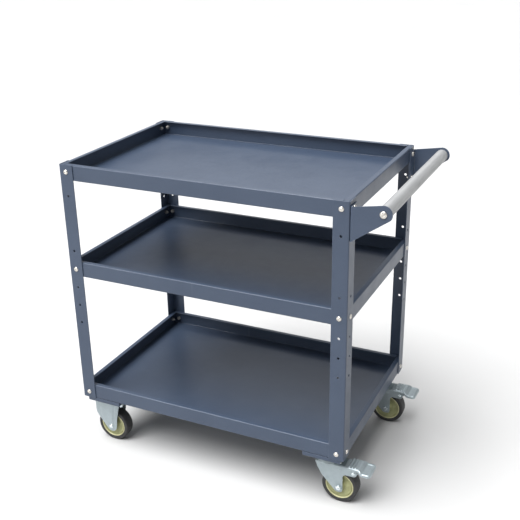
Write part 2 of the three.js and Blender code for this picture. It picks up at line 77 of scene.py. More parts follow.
FLANGE = 38 * MM
POST_SHEET = 2 * MM
HOLE_RADIUS = 3.3 * MM
HOLE_INSET = {"x": 19 * MM, "y": 21 * MM}
HOLE_PITCH = 50 * MM
ROW_ZERO = 570 * MM
SCREW_HEIGHT = {"top": 776 * MM, "middle": ROW_ZERO - HOLE_PITCH, "bottom": 161.5 * MM}
BRACKET_LOW_SCREW = 714.5 * MM
FREE_HOLES = [BRACKET_LOW_SCREW] + [ROW_ZERO - HOLE_PITCH * step for step in (0, 2, 3, 4)]
TRAY_SHEET = 1.5 * MM
TRAY_LIP = 12 * MM
BEAM_SHEET = 2 * MM
BRACKET_SHEET = 2.5 * MM
FORK_SHEET = 2.5 * MM
FORK_INSIDE = 17 * MM
FORK_OUTSIDE = FORK_INSIDE + FORK_SHEET
BRACKET_FLANGE = 78 * MM
PLATE_HALF = (95 * MM / 2, 67 * MM / 2)
PLATE_HOLES = (76 * MM / 2, 46 * MM / 2)
PLATE_HOLE_RADIUS = 4.3 * MM
PLATE_CORNER = 5 * MM
PLATE_SHEET = 2.7 * MM
CROWN_TOP = 110 * MM
KINGPIN_BORE = 6.5 * MM
BRAKE_PIN_BORE = 3.3 * MM
AIR = 0.3 * MM  # between neighbouring pieces
CUT = 60 * MM  # how far a cutter reaches to both sides of a piece's middle
WHEEL_SEGMENTS = 112
QUADRANTS = ((-1, -1), (1, -1), (1, 1), (-1, 1))


# ---------------------------------------------------------------- mesh tools


def in_space(axis, u, v, along):
    """A point from two coordinates across an axis, in x, y, z order, and one along it."""
    if axis == "x":
        return Vector((along, u, v))
    if axis == "y":
        return Vector((u, along, v))
    return Vector((u, v, along))


def rounded(corners, steps=6):
    """An outline from (u, v, radius) corners, with each corner of a radius above 0 drawn as an arc."""
    outline = []
    for index, (u, v, radius) in enumerate(corners):
        corner = Vector((u, v))
        if radius <= 0:
            outline.append(corner)
            continue
        before = (Vector(corners[index - 1][:2]) - corner).normalized()
        after = (Vector(corners[(index + 1) % len(corners)][:2]) - corner).normalized()
        half = before.angle(after) / 2
        centre = corner + (before + after).normalized() * radius / math.sin(half)
        start = corner + before * radius / math.tan(half) - centre
        sweep = start.angle_signed(corner + after * radius / math.tan(half) - centre)
        for step in range(steps + 1):
            outline.append(centre + Matrix.Rotation(-sweep * step / steps, 2) @ start)
    return outline


def arc(centre, radius, start, end, steps=12):
    """Points on an arc from one angle to another, in degrees."""
    angles = [math.radians(start + (end - start) * step / steps) for step in range(steps + 1)]
    return [(centre[0] + radius * math.cos(a), centre[1] + radius * math.sin(a)) for a in angles]


def prism(outline, low, high, axis, bm=None):
    """A closed prism: an outline extruded along an axis."""
    bm = bm or bmesh.new()
    bottom = [bm.verts.new(in_space(axis, p[0], p[1], low)) for p in outline]
    top = [bm.verts.new(in_space(axis, p[0], p[1], high)) for p in outline]
    made = [bm.faces.new(bottom), bm.faces.new(top)]
    for index in range(len(outline)):
        after = (index + 1) % len(outline)
        made.append(bm.faces.new((bottom[index], bottom[after], top[after], top[index])))
    bmesh.ops.recalc_face_normals(bm, faces=made)
    return bm


def hole(centre, radius, low, high, axis, bm=None):
    """A round rod along an axis, to cut a hole with."""
    return prism(arc(centre, radius, 0, 345, 23), low, high, axis, bm)


def box_between(low, high, bm=None):
    """A closed box between two corners."""
    outline = [(low[0], low[1]), (high[0], low[1]), (high[0], high[1]), (low[0], high[1])]
    return prism(outline, low[2], high[2], "z", bm)


def turn(rings, axis, centre, segments=48, bm=None):
    """A closed turned solid. Each ring is (radius, height) or (half flats, height, "hex") for a hexagon.
    A first and last radius of 0 close it on its axis; otherwise it closes on itself."""
    bm = bm or bmesh.new()
    solid = rings[0][0] == 0
    made = []
    loops = []
    for ring in rings:
        radius, height = ring[:2]
        if radius == 0:
            loops.append([bm.verts.new(in_space(axis, centre[0], centre[1], height))])
            continue
        loop = []
        for step in range(segments):
            angle = 2 * math.pi * step / segments
            reach = radius
            if len(ring) == 3:
                reach = radius / math.cos((angle + math.pi / 6) % (math.pi / 3) - math.pi / 6)
            u = centre[0] + reach * math.cos(angle)
            v = centre[1] + reach * math.sin(angle)
            loop.append(bm.verts.new(in_space(axis, u, v, height)))
        loops.append(loop)
    pairs = list(zip(loops, loops[1:])) + ([] if solid else [(loops[-1], loops[0])])
    for one, two in pairs:
        for step in range(segments):
            after = (step + 1) % segments
            order = ((one, step), (one, after), (two, after), (two, step))
            corners = dict.fromkeys(loop[index % len(loop)] for loop, index in order)
            made.append(bm.faces.new(list(corners)))
    bmesh.ops.recalc_face_normals(bm, faces=made)
    return bm


def surface(columns, rows, place, thickness, bm=None):
    """A sheet of the given thickness over a grid of points: place(i, j) gives each point, and the sheet
    is thickened below it, away from the grid's normal."""
    sheet = bmesh.new()
    grid = [[sheet.verts.new(place(i, j)) for i in range(columns + 1)] for j in range(rows + 1)]
    for j in range(rows):
        for i in range(columns):
            sheet.faces.new((grid[j][i], grid[j][i + 1], grid[j + 1][i + 1], grid[j + 1][i]))
    bmesh.ops.remove_doubles(sheet, verts=sheet.verts, dist=1e-6)
    sheet.normal_update()
    settings = {"thickness": thickness, "offset": -1, "use_quality_normals": True}
    return joined(bm, evaluated(sheet, [("SOLIDIFY", settings)]))


def joined(bm, other):
    """bm with other's mesh added to it."""
    if bm is None:
        return other
    mesh = bpy.data.meshes.new("joined")
    other.to_mesh(mesh)
    other.free()
    bm.from_mesh(mesh)
    bpy.data.meshes.remove(mesh)
    return bm


def loose_object(bm, name="loose"):
    """An object that holds bm while modifiers work on it."""
    mesh = bpy.data.meshes.new(name)
    bm.to_mesh(mesh)
    bm.free()
    made = bpy.data.objects.new(name, mesh)
    scene.collection.objects.link(made)
    return made


def evaluated(bm, steps):
    """bm after the given modifiers, as a new bmesh."""
    holder = loose_object(bm)
    for kind, settings in steps:
        modifier = holder.modifiers.new(kind.lower(), kind)
        for key, value in settings.items():
            setattr(modifier, key, value)
    result = bmesh.new()
    result.from_object(holder, bpy.context.evaluated_depsgraph_get())
    bpy.data.objects.remove(holder)
    return result


def combine(bm, tool, operation="DIFFERENCE"):
    """The boolean of two closed meshes."""
    cutter = loose_object(tool, "tool")
    result = evaluated(bm, [("BOOLEAN", {"object": cutter, "operation": operation, "solver": "EXACT"})])
    bpy.data.objects.remove(cutter)
    return result


def finished(node, form, bm, finish, body, edge=0, origin=(0, 0, 0), replaces=True):
    """The piece that goes into the scene: rounded edges, smooth shading, its finish, its CAD body."""
    name = f"{node}_{form}"
    material, slot = finish
    mesh = bpy.data.meshes.new(name)
    bm.to_mesh(mesh)
    bm.free()
    mesh.transform(Matrix.Translation(-Vector(origin)))
    mesh.materials.append(material)
    mesh.shade_smooth()
    mesh.set_sharp_from_angle(angle=math.radians(46))
    piece = bpy.data.objects.new(name, mesh)
    piece.location = origin
    scene.collection.objects.link(piece)
    if edge:
        bevel = piece.modifiers.new("edges", "BEVEL")
        bevel.width = edge
        bevel.segments = 2
        bevel.limit_method = "ANGLE"
        bevel.angle_limit = math.radians(40)
        bevel.miter_outer = "MITER_ARC"
    normals = piece.modifiers.new("normals", "WEIGHTED_NORMAL")
    normals.keep_sharp = True
    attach(piece, body)
    if replaces:
        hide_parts(node)
    return piece


# ---------------------------------------------------------------- materials


class Nodes:
    """A material's node tree, with short names for the nodes used here."""

    def __init__(self, name):
        self.material = bpy.data.materials.new(name)
        self.material.use_nodes = True
        self.tree = self.material.node_tree
        self.shader = self.tree.nodes["Principled BSDF"]
        self.place = self.add("ShaderNodeTexCoord").outputs["Object"]

    def add(self, kind, inputs=None, **settings):
        node = self.tree.nodes.new(kind)
        for key, value in settings.items():
            setattr(node, key, value)
        for key, value in (inputs or {}).items():
            if hasattr(value, "links"):
                self.tree.links.new(value, node.inputs[key])
            else:
                node.inputs[key].default_value = value
        return node

    def noise(self, scale, detail, rough, stretch=None):
        place = self.place
        if stretch:
            place = self.add("ShaderNodeMapping", {"Vector": place, "Scale": stretch}).outputs["Vector"]
        inputs = {"Vector": place, "Scale": scale, "Detail": detail, "Roughness": rough}
        return self.add("ShaderNodeTexNoise", inputs).outputs["Fac"]

    def ramp(self, factor, *stops):
        """A colour or grey ramp from (position, value) stops."""
        node = self.add("ShaderNodeValToRGB", {"Fac": factor})
        while len(node.color_ramp.elements) < len(stops):
            node.color_ramp.elements.new(0.5)
        for element, (position, value) in zip(node.color_ramp.elements, stops):
            colour = value if isinstance(value, tuple) else (value, value, value)
            element.position = position
            element.color = (*colour, 1)
        return node.outputs["Color"]

    def mix(self, factor, one, two, blend="MIX"):
        node = self.add("ShaderNodeMix", data_type="RGBA", blend_type=blend)
        for socket, value in ((node.inputs[0], factor), (node.inputs[6], one), (node.inputs[7], two)):
            if hasattr(value, "links"):
                self.tree.links.new(value, socket)
            elif isinstance(value, tuple):
                socket.default_value = (*value, 1)
            else:
                socket.default_value = value
        return node.outputs[2]

    def maths(self, operation, one, two=0.0):
        node = self.add("ShaderNodeMath", operation=operation)
        for socket, value in zip(node.inputs, (one, two)):
            if hasattr(value, "links"):
                self.tree.links.new(value, socket)
            else:
                socket.default_value = value
        return node.outputs[0]

    def edges(self, radius, low=0.02, high=0.2):
        """1 along outer edges and 0 on flats, from how far a rounded normal turns from the true one."""
        soft = self.add("ShaderNodeBevel", {"Radius": radius}, samples=4).outputs["Normal"]
        true = self.add("ShaderNodeNewGeometry").outputs["Normal"]
        same = self.add("ShaderNodeVectorMath", {0: soft, 1: true}, operation="DOT_PRODUCT").outputs["Value"]
        return self.ramp(self.maths("SUBTRACT", 1.0, same), (low, 0.0), (high, 1.0))

    def bump(self, height, strength, distance):
        inputs = {"Height": height, "Strength": strength, "Distance": distance}
        last = self.shader.inputs["Normal"]
        if last.is_linked:
            inputs["Normal"] = last.links[0].from_socket
        self.tree.links.new(self.add("ShaderNodeBump", inputs).outputs["Normal"], last)

    def finish(self, colour, roughness, metallic=0.0):
        """The material, with its shader's inputs set."""
        self.tree.links.new(colour, self.shader.inputs["Base Color"])
        self.tree.links.new(roughness, self.shader.inputs["Roughness"])
        self.shader.inputs["Metallic"].default_value = metallic
        return self.material


def painted_steel():
    """Satin blue-grey powder coat: a fine orange peel, faint clouding, rubbed edges lightened further as a
    painted highlight, and stray scratches.
    """
    nodes = Nodes("painted_steel")
    clouds = nodes.ramp(nodes.noise(7, 4, 0.6), (0.3, (0.035, 0.052, 0.087)), (0.7, (0.043, 0.062, 0.100)))
    speck = nodes.ramp(nodes.noise(900, 2, 0.6), (0.35, 0.86), (0.65, 1.08))
    base = nodes.mix(1.0, clouds, speck, "MULTIPLY")
    streak = nodes.noise(60, 2, 0.5, stretch=(1, 1, 0.04))
    scratch = nodes.ramp(streak, (0.735, 0.0), (0.76, 0.6))
    wear = nodes.ramp(nodes.noise(35, 4, 0.7), (0.35, 0.15), (0.75, 0.9))
    # Lighter colour along the edges, broken up by wear noise: partly rubbed paint, partly a painted highlight
    # on the folds.
    edge_wear_and_highlight = nodes.maths("MULTIPLY", nodes.edges(0.9 * MM), wear)
    base = nodes.mix(nodes.maths("MULTIPLY", scratch, 0.18), base, (0.16, 0.19, 0.24))
    colour = nodes.mix(nodes.maths("MULTIPLY", edge_wear_and_highlight, 0.55), base, (0.30, 0.35, 0.43))
    roughness = nodes.ramp(nodes.noise(18, 5, 0.65), (0.3, 0.31), (0.72, 0.43))
    nodes.bump(nodes.noise(1400, 2, 0.5), 0.07, 0.12 * MM)
    nodes.bump(nodes.noise(9, 2, 0.4), 0.25, 0.6 * MM)
    return nodes.finish(colour, roughness)


def tube_coating():
    """Matt silver-grey coating with a soft grain along the tube and hand-worn, smoother patches."""
    nodes = Nodes("grey_tube")
    grain = nodes.noise(260, 3, 0.6, stretch=(1, 0.05, 1))
    tone = nodes.ramp(grain, (0.3, (0.31, 0.315, 0.32)), (0.7, (0.36, 0.365, 0.37)))
    patch = nodes.ramp(nodes.noise(14, 4, 0.6), (0.35, 0.93), (0.7, 1.03))
    colour = nodes.mix(1.0, tone, patch, "MULTIPLY")
    roughness = nodes.ramp(nodes.noise(22, 4, 0.6), (0.3, 0.42), (0.7, 0.56))
    nodes.bump(nodes.noise(1100, 2, 0.5), 0.12, 0.1 * MM)
    return nodes.finish(colour, roughness, 0.35)


def plated(name, dark, light, rough, metallic):
    """Plated steel: faint mottling, fine drawn lines, and edges lightened as a painted highlight."""
    nodes = Nodes(name)
    mottle = nodes.noise(60, 5, 0.6)
    base = nodes.ramp(mottle, (0.3, dark), (0.7, light))
    # A lighter colour on every sharp edge: a painted highlight.
    edge_highlight = tuple(min(1.0, c * 1.6) for c in light)
    colour = nodes.mix(nodes.maths("MULTIPLY", nodes.edges(0.8 * MM), 0.9), base, edge_highlight)
    roughness = nodes.ramp(nodes.noise(300, 3, 0.6), (0.3, rough - 0.06), (0.7, rough + 0.08))
    nodes.bump(nodes.noise(500, 3, 0.6), 0.10, 0.08 * MM)
    return nodes.finish(colour, roughness, metallic)


def tyre_rubber():
    """Black moulded rubber, dusty where it rolls."""
    nodes = Nodes("tyre_rubber")
    base = nodes.ramp(nodes.noise(60, 4, 0.6), (0.3, (0.014, 0.014, 0.015)), (0.75, (0.026, 0.026, 0.027)))
    dust = nodes.ramp(nodes.noise(30, 6, 0.7), (0.45, 0.0), (0.8, 0.35))
    colour = nodes.mix(dust, base, (0.045, 0.044, 0.042))
    roughness = nodes.ramp(nodes.noise(90, 3, 0.6), (0.3, 0.50), (0.7, 0.68))
    nodes.bump(nodes.noise(700, 3, 0.6), 0.25, 0.15 * MM)
    return nodes.finish(colour, roughness)


def enamel(name, dark, light):
    """Enamel or zinc-chromate on pressed steel, with its edges lightened as a painted highlight."""
    nodes = Nodes(name)
    base = nodes.ramp(nodes.noise(70, 4, 0.6), (0.3, dark), (0.7, light))
    # A lighter colour on every sharp edge: a painted highlight.
    edge_highlight = tuple(c * 1.35 for c in light)
    colour = nodes.mix(nodes.maths("MULTIPLY", nodes.edges(0.6 * MM), 0.5), base, edge_highlight)
    roughness = nodes.ramp(nodes.noise(110, 4, 0.6), (0.3, 0.38), (0.7, 0.52))
    nodes.bump(nodes.noise(420, 3, 0.6), 0.12, 0.1 * MM)
    return nodes.finish(colour, roughness, 0.25)


def moulded_plastic():
    """Black plastic with a fine moulded grain."""
    nodes = Nodes("black_plastic")
    dark, light = (0.016, 0.016, 0.018), (0.026, 0.026, 0.028)
    colour = nodes.ramp(nodes.noise(200, 3, 0.6), (0.3, dark), (0.7, light))
    roughness = nodes.ramp(nodes.noise(90, 3, 0.5), (0.3, 0.45), (0.7, 0.6))
    nodes.bump(nodes.noise(1500, 2, 0.5), 0.2, 0.06 * MM)
    return nodes.finish(colour, roughness)


# Each finish is a material and the CAD material slot it stands for.
PAINT = (painted_steel(), "painted_steel")
TUBE = (tube_coating(), "grey_tube")
ZINC = (plated("zinc_plate", (0.30, 0.35, 0.37), (0.36, 0.415, 0.44), 0.36, 0.6), "zinc_plate")
BRIGHT_ZINC = (plated("bright_zinc", (0.62, 0.70, 0.73), (0.74, 0.81, 0.83), 0.24, 0.85), "zinc_plate")
NICKEL = (plated("plated_screw", (0.60, 0.57, 0.52), (0.74, 0.71, 0.66), 0.28, 0.9), "plated_screw")
SPRING = (plated("spring_steel", (0.26, 0.27, 0.28), (0.36, 0.37, 0.38), 0.30, 0.9), "spring_steel")
RUBBER = (tyre_rubber(), "tyre_rubber")
OLIVE = (enamel("olive_hub", (0.22, 0.225, 0.105), (0.35, 0.355, 0.185)), "olive_hub")
RIM = enamel("hub_rim", (0.46, 0.445, 0.25), (0.58, 0.565, 0.35))
PLASTIC = (moulded_plastic(), "black_plastic")


# ---------------------------------------------------------------- fasteners


def button_screw(axis, centre, face, outward, radius, height, shank, reach, bm=None):
    """A button-head screw: a domed head with a hexagon socket on a face, and a threaded shank behind it."""
    socket = radius * 0.34
    dome = [(radius * math.cos(a), height * (0.22 + 0.78 * math.sin(a)))
            for a in [math.radians(step * 9) for step in range(8)]]
    rings = [(0, height * 0.35), (socket * 0.6, height * 0.35, "hex"), (socket, height * 0.42, "hex"),
             (socket, height * 0.97, "hex"), (socket * 1.25, height)]
    rings += [ring for ring in reversed(dome) if ring[0] > socket * 1.3]
    rings += [(radius, 0.0), (shank, 0.0)]
    rings += threads(shank, 0.0, -reach)
    rings += [(shank * 0.75, -reach - 0.6 * MM), (0, -reach - 0.6 * MM)]
    placed = [(ring[0], face + outward * ring[1], *ring[2:]) for ring in rings]
    return turn(placed, axis, centre, 36, bm)


def threads(radius, start, end, pitch=1.25 * MM):
    """The ridges of a thread as rings from one height to another."""
    count = max(2, int(abs(end - start) / pitch))
    step = (end - start) / count
    rings = []
    for index in range(count):
        rings.append((radius * 0.88, start + step * (index + 0.25)))
        rings.append((radius, start + step * (index + 0.75)))
    return rings


def hex_nut(axis, centre, face, outward, flats, height, bore, bm=None, collar=0.0):
    """A chamfered hexagon nut, with a round locking collar if it has a height."""
    half = flats / 2
    rings = [(bore, 0.0), (half * 0.96, 0.0), (half, height * 0.12, "hex"), (half, height * 0.84, "hex")]
    rings += [(half * 0.97, height)]
    if collar:
        rings += [(half * 0.86, height), (half * 0.84, height + collar * 0.6), (half * 0.72, height + collar)]
    rings += [(bore, height + collar)]
    placed = [(ring[0], face + outward * ring[1], *ring[2:]) for ring in rings]
    return turn(placed, axis, centre, 36, bm)


def washer(axis, centre, face, outward, radius, bore, height, bm=None):
    """A flat washer with its outer edges broken."""
    edge = 0.3 * MM
    rings = [(bore, 0), (radius - edge, 0), (radius, edge), (radius, height - edge), (radius - edge, height)]
    rings += [(bore, height)]
    return turn([(r, face + outward * h) for r, h in rings], axis, centre, 36, bm)


def tray_screw(axis, centre, face, outward, reach, bm=None):
    """An M6 screw of the kind that holds the trays and brackets."""
    return button_screw(axis, centre, face, outward, 6.0 * MM, 3.0 * MM, 3 * MM, reach, bm)


def tray_nut(axis, centre, face, outward, bm):
    """The M6 nut that goes with it."""
    return hex_nut(axis, centre, face, outward, 10 * MM, 5 * MM, 2.6 * MM, bm)


# ---------------------------------------------------------------- posts and trays


def post(side_name, end_name):
    """A bent angle post, drilled along both flanges."""
    side, end = SIDES[side_name], ENDS[end_name]
    node = f"post_{side_name}_{end_name}"
    corner_x = MIDDLE_X + end * HALF_LENGTH
    corner_y = side * HALF_WIDTH
    corners = [(0, 0, 3.2 * MM), (FLANGE, 0, 0), (FLANGE, POST_SHEET, 0), (POST_SHEET, POST_SHEET, 1.2 * MM),
               (POST_SHEET, FLANGE, 0), (0, FLANGE, 0)]
    profile = [(corner_x - end * u, corner_y - side * v) for u, v in rounded(corners)]
    angle = prism(profile, POST_BOTTOM, POST_TOP, "z")
    holes = bmesh.new()
    hole_x = corner_x - end * HOLE_INSET["x"]
    hole_y = corner_y - side * HOLE_INSET["y"]
    depth = 2 * POST_SHEET
    for height in [*SCREW_HEIGHT.values(), *FREE_HOLES]:
        hole((hole_x, height), HOLE_RADIUS, corner_y - depth, corner_y + depth, "y", holes)
        hole((hole_y, height), HOLE_RADIUS, corner_x - depth, corner_x + depth, "x", holes)
    finished(node, "angle", combine(angle, holes), PAINT, FRAME_BODY, 0.35 * MM)


def folded_pan(low, high, sheet, lip, bottom_radius, top_radius):
    """A folded pan between two corners: a floor, four walls and, unless lip is 0, a lip turned inwards."""
    middle = (low + high) / 2
    half = (high - low) / 2

    floor_inset = 12 * MM

    def bend(inset, height, radius, start, end):
        return arc((inset, height), radius, start, end, 5)

    outer = [(floor_inset, low.z)] + bend(bottom_radius, low.z + bottom_radius, bottom_radius, 270, 180)
    inner_radius = max(bottom_radius - sheet, 0.2 * MM)
    inner = bend(bottom_radius, low.z + bottom_radius, inner_radius, 180, 270)
    inner += [(floor_inset, low.z + sheet)]
    if lip:
        outer += bend(top_radius, high.z - top_radius, top_radius, 180, 90)
        tip = [(lip - 0.5 * MM, high.z), (lip, high.z - 0.5 * MM), (lip, high.z - sheet + 0.4 * MM),
               (lip - 0.4 * MM, high.z - sheet)]
        under = bend(top_radius, high.z - top_radius, max(top_radius - sheet, 0.2 * MM), 90, 180)
        inner = tip + under + inner
    else:
        outer += [(0, high.z - 0.4 * MM), (0.4 * MM, high.z)]
        inner = [(sheet - 0.4 * MM, high.z), (sheet, high.z - 0.4 * MM)] + inner
    bm = bmesh.new()
    loops = []
    for inset, height in outer + inner:
        x, y = half.x - inset, half.y - inset
        loops.append([bm.verts.new((middle.x + sx * x, middle.y + sy * y, height)) for sx, sy in QUADRANTS])
    for one, two in zip(loops, loops[1:]):
        for index in range(4):
            after = (index + 1) % 4
            bm.faces.new((one[index], one[after], two[after], two[index]))
    bm.faces.new(loops[0])
    bm.faces.new(loops[-1])
    bmesh.ops.recalc_face_normals(bm, faces=bm.faces)
    return bm


def tray(level):
    """A tray, with the relief notches where its lips meet at the corners."""
    node = f"shelf_{level}"
    low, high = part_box(node)
    bend = 2.6 * MM
    pan = folded_pan(low, high, TRAY_SHEET, TRAY_LIP, bend, bend)
    notches = bmesh.new()
    for end in ENDS.values():
        for side in SIDES.values():
            x = MIDDLE_X + end * ((high.x - low.x) / 2 - TRAY_LIP - 0.6 * MM)
            y = side * (high.y - low.y) / 2
            inner, outer = sorted((x, x - end * 1.4 * MM))
            near, far = sorted((y + side * MM, y - side * TRAY_LIP * 1.02))
            box_between((inner, near, high.z - TRAY_SHEET - 1.5 * MM), (outer, far, high.z + MM), notches)
    pan = combine(pan, notches)
    finished(node, "pan", pan, PAINT, FRAME_BODY, 0.25 * MM)


def caster_beam(end_name):
    """The folded beam under the bottom tray that carries the two casters of one end."""
    node = f"caster_beam_{end_name}"
    low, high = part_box(node)
    pan = folded_pan(low, high, BEAM_SHEET, 0, 3 * MM, 0)
    finished(node, "pan", pan, PAINT, FRAME_BODY, 0.25 * MM)


def shelf_screws(level):
    """The screws and nuts of a tray's corners, apart from the two that also hold the handle brackets."""
    height = SCREW_HEIGHT[level]
    wall = POST_SHEET + AIR + TRAY_SHEET
    reach = wall + 8 * MM
    screws, nuts = bmesh.new(), bmesh.new()
    for end_name, end in ENDS.items():
        for side in SIDES.values():
            face_y = side * HALF_WIDTH
            face_x = MIDDLE_X + end * HALF_LENGTH
            across = (face_x - end * HOLE_INSET["x"], height)
            along = (face_y - side * HOLE_INSET["y"], height)
            tray_screw("y", across, face_y, side, reach, screws)
            tray_nut("y", across, face_y - side * wall, -side, nuts)
            if level == "top" and end_name == "right":
                continue
            tray_screw("x", along, face_x, end, reach, screws)
            tray_nut("x", along, face_x - end * wall, -end, nuts)
    finished(f"shelf_{level}", "screws", screws, NICKEL, FRAME_BODY, replaces=False)
    finished(f"shelf_{level}", "nuts", nuts, NICKEL, FRAME_BODY, replaces=False)


# ---------------------------------------------------------------- handle


def bracket_plate(side_name, tube_x, tube_z):
    """A bracket folded from one plate: a flange on the post and a gusset that tapers to the tube's end."""
    side = SIDES[side_name]
    node = f"handle_bracket_{side_name}"
    low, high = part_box(node)
    end_radius = high.x - tube_x
    outer_y = side * HALF_WIDTH
    bend = 4 * MM
    length = high.x - low.x + 5 * MM
    corners = [(0, 0, bend), (length, 0, 0), (length, BRACKET_SHEET, 0),
               (BRACKET_SHEET, BRACKET_SHEET, bend - BRACKET_SHEET), (BRACKET_SHEET, FLANGE, 0),
               (0, FLANGE, 0)]
    profile = [(low.x + u, outer_y - side * v) for u, v in rounded(corners)]
    folded = prism(profile, low.z - MM, high.z + MM, "z")
    reach = math.hypot(tube_x - low.x, tube_z - low.z)
    slope = math.degrees(math.atan2(tube_z - low.z, tube_x - low.x) + math.asin(end_radius / reach)) - 90
    flange_top = low.z + BRACKET_FLANGE
    outline = [(low.x - MM, low.z), (low.x + 3 * MM, low.z)]
    outline += arc((tube_x, tube_z), end_radius, slope, 90, 24)
    outline += [(low.x + 6 * MM, flange_top + 0.6 * MM), (low.x - MM, flange_top)]
    gusset = prism(outline, outer_y - CUT, outer_y + CUT, "y")
    plate = combine(folded, gusset, "INTERSECT")
    finished(node, "plate", plate, PAINT, FRAME_BODY, 0.4 * MM)


def handle_end(side_name, tube_x, tube_z):
    """The screw at one end of the tube, and the ribbed plug that takes it."""
    side = SIDES[side_name]
    face = side * HALF_WIDTH + side * AIR
    screw = button_screw("y", (tube_x, tube_z), face, side, 8 * MM, 4.6 * MM, 4 * MM, 21 * MM)
    finished(f"handle_screw_{side_name}", "head", screw, NICKEL, FRAME_BODY)

    node = f"handle_plug_{side_name}"
    low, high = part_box(node)
    radius, bore = (high.x - low.x) / 2, 4.3 * MM
    outer, inner = sorted((low.y, high.y), key=abs, reverse=True)
    rings = [(bore, outer), (radius - MM, outer), (radius, outer - side * MM)]
    for groove in (4, 8, 12, 16):
        rings.append((radius, outer - side * groove * MM))
        rings.append((radius - 0.8 * MM, outer - side * (groove + 1) * MM))
        rings.append((radius, outer - side * (groove + 2) * MM))
    rings += [(radius - MM, inner), (bore, inner)]
    plug = turn(rings, "y", (tube_x, tube_z), 48)
    finished(node, "ribbed", plug, PLASTIC, FRAME_BODY)


def bracket_screws(side_name):
    """The two screws that hold a bracket to its post. The upper one holds the tray's wall too."""
    side = SIDES[side_name]
    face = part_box(f"handle_bracket_{side_name}")[0].x + BRACKET_SHEET + AIR
    for height_name, height, wall in (("upper", SCREW_HEIGHT["top"], POST_SHEET + AIR + TRAY_SHEET),
                                      ("lower", BRACKET_LOW_SCREW, POST_SHEET)):
        centre = (side * HALF_WIDTH - side * HOLE_INSET["y"], height)
        nut_face = MIDDLE_X + HALF_LENGTH - wall
        bolt = tray_screw("x", centre, face, 1, face - nut_face + 7 * MM)
        tray_nut("x", centre, nut_face, -1, bolt)
        finished(f"bracket_screw_{side_name}_{height_name}", "bolt", bolt, NICKEL, FRAME_BODY)


def handle_tube():
    """The hollow tube, with its ends chamfered."""
    low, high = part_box("handle_tube")
    centre = ((low.x + high.x) / 2, (low.z + high.z) / 2)
    radius, wall, chamfer = (high.x - low.x) / 2, 1.8 * MM, 0.6 * MM
    rings = [(radius - wall, low.y), (radius - chamfer, low.y), (radius, low.y + chamfer)]
    rings += [(radius, low.y + (high.y - low.y) * step / 12) for step in range(1, 12)]
    rings += [(radius, high.y - chamfer), (radius - chamfer, high.y), (radius - wall, high.y)]
    finished("handle_tube", "coated", turn(rings, "y", centre, 72), TUBE, FRAME_BODY)


def handle():
    """Both brackets with their screws and plugs, then the tube between them."""
    low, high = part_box("handle_tube")
    tube_x, tube_z = (low.x + high.x) / 2, (low.z + high.z) / 2
    for side_name in SIDES:
        bracket_plate(side_name, tube_x, tube_z)
        handle_end(side_name, tube_x, tube_z)
        bracket_screws(side_name)
    handle_tube()


# ---------------------------------------------------------------- wheels


def profile_both_sides(side_profile):
    """Rings for both halves of a wheel, from the profile of one side, listed from the inside out."""
    return side_profile + [(radius, -y) for radius, y in reversed(side_profile)]


def place(node, form, bm, finish, body, origin):
    """A piece made in its caster's own frame, put at its origin in the cart's."""
    bmesh.ops.translate(bm, verts=bm.verts, vec=origin)
    return finished(node, form, bm, finish, body, origin=origin)


def tyre_and_hub(name, body, axle):
    """A tyre with rounded shoulders on a hub pressed from sheet, whose rim is lighter than its dish."""
    half = 31 * MM / 2
    tyre_low, tyre_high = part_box(f"{name}_tyre")
    tread = (tyre_high.x - tyre_low.x) / 2
    rim = 36.2 * MM
    side_wall = ((0, 3.2), (0.4, 1.2), (1.6, 0.5), (3.4, 0), (4.0, 0.35), (4.6, 0.05))
    tyre_side = [(rim + out * MM, half - depth * MM) for out, depth in side_wall]
    shoulder = 4.6 * MM
    for step in range(8):
        angle = math.radians(80 - 10 * step)
        radius = tread - shoulder + shoulder * math.cos(angle) - 0.35 * MM
        tyre_side.append((radius, half - shoulder + shoulder * math.sin(angle)))
    tyre_side += [(tread - 0.1 * MM, half * 0.45), (tread, half * 0.2)]
    tyre = turn(profile_both_sides(tyre_side), "y", (0, 0), WHEEL_SEGMENTS)
    place(f"{name}_tyre", "moulded", tyre, RUBBER, body, axle)

    outer, rim_edge = rim - AIR, 32.8 * MM
    dish = ((7.3, 1.2), (10.2, 1), (11.2, 1.6), (11.9, 4), (13.4, 6.2), (17, 6.7), (25, 5.6), (27.4, 4.9),
            (28.4, 3.7), (30.6, 3.3), (31.4, 4.4), (32.6, 4.6), (33, 3.4), (33.4, 1.9), (34.1, 1.2),
            (35, 1.1))
    hub_side = [(radius * MM, half - depth * MM) for radius, depth in dish]
    hub_side += [(outer - 0.2 * MM, half - 1.6 * MM), (outer, half - 2.6 * MM)]
    hub = turn(profile_both_sides(hub_side), "y", (0, 0), WHEEL_SEGMENTS)
    piece = place(f"{name}_wheel_hub", "pressed", hub, OLIVE, body, axle)
    piece.data.materials.append(RIM)
    for face in piece.data.polygons:
        if math.hypot(face.center.x, face.center.z) > rim_edge:
            face.material_index = 1


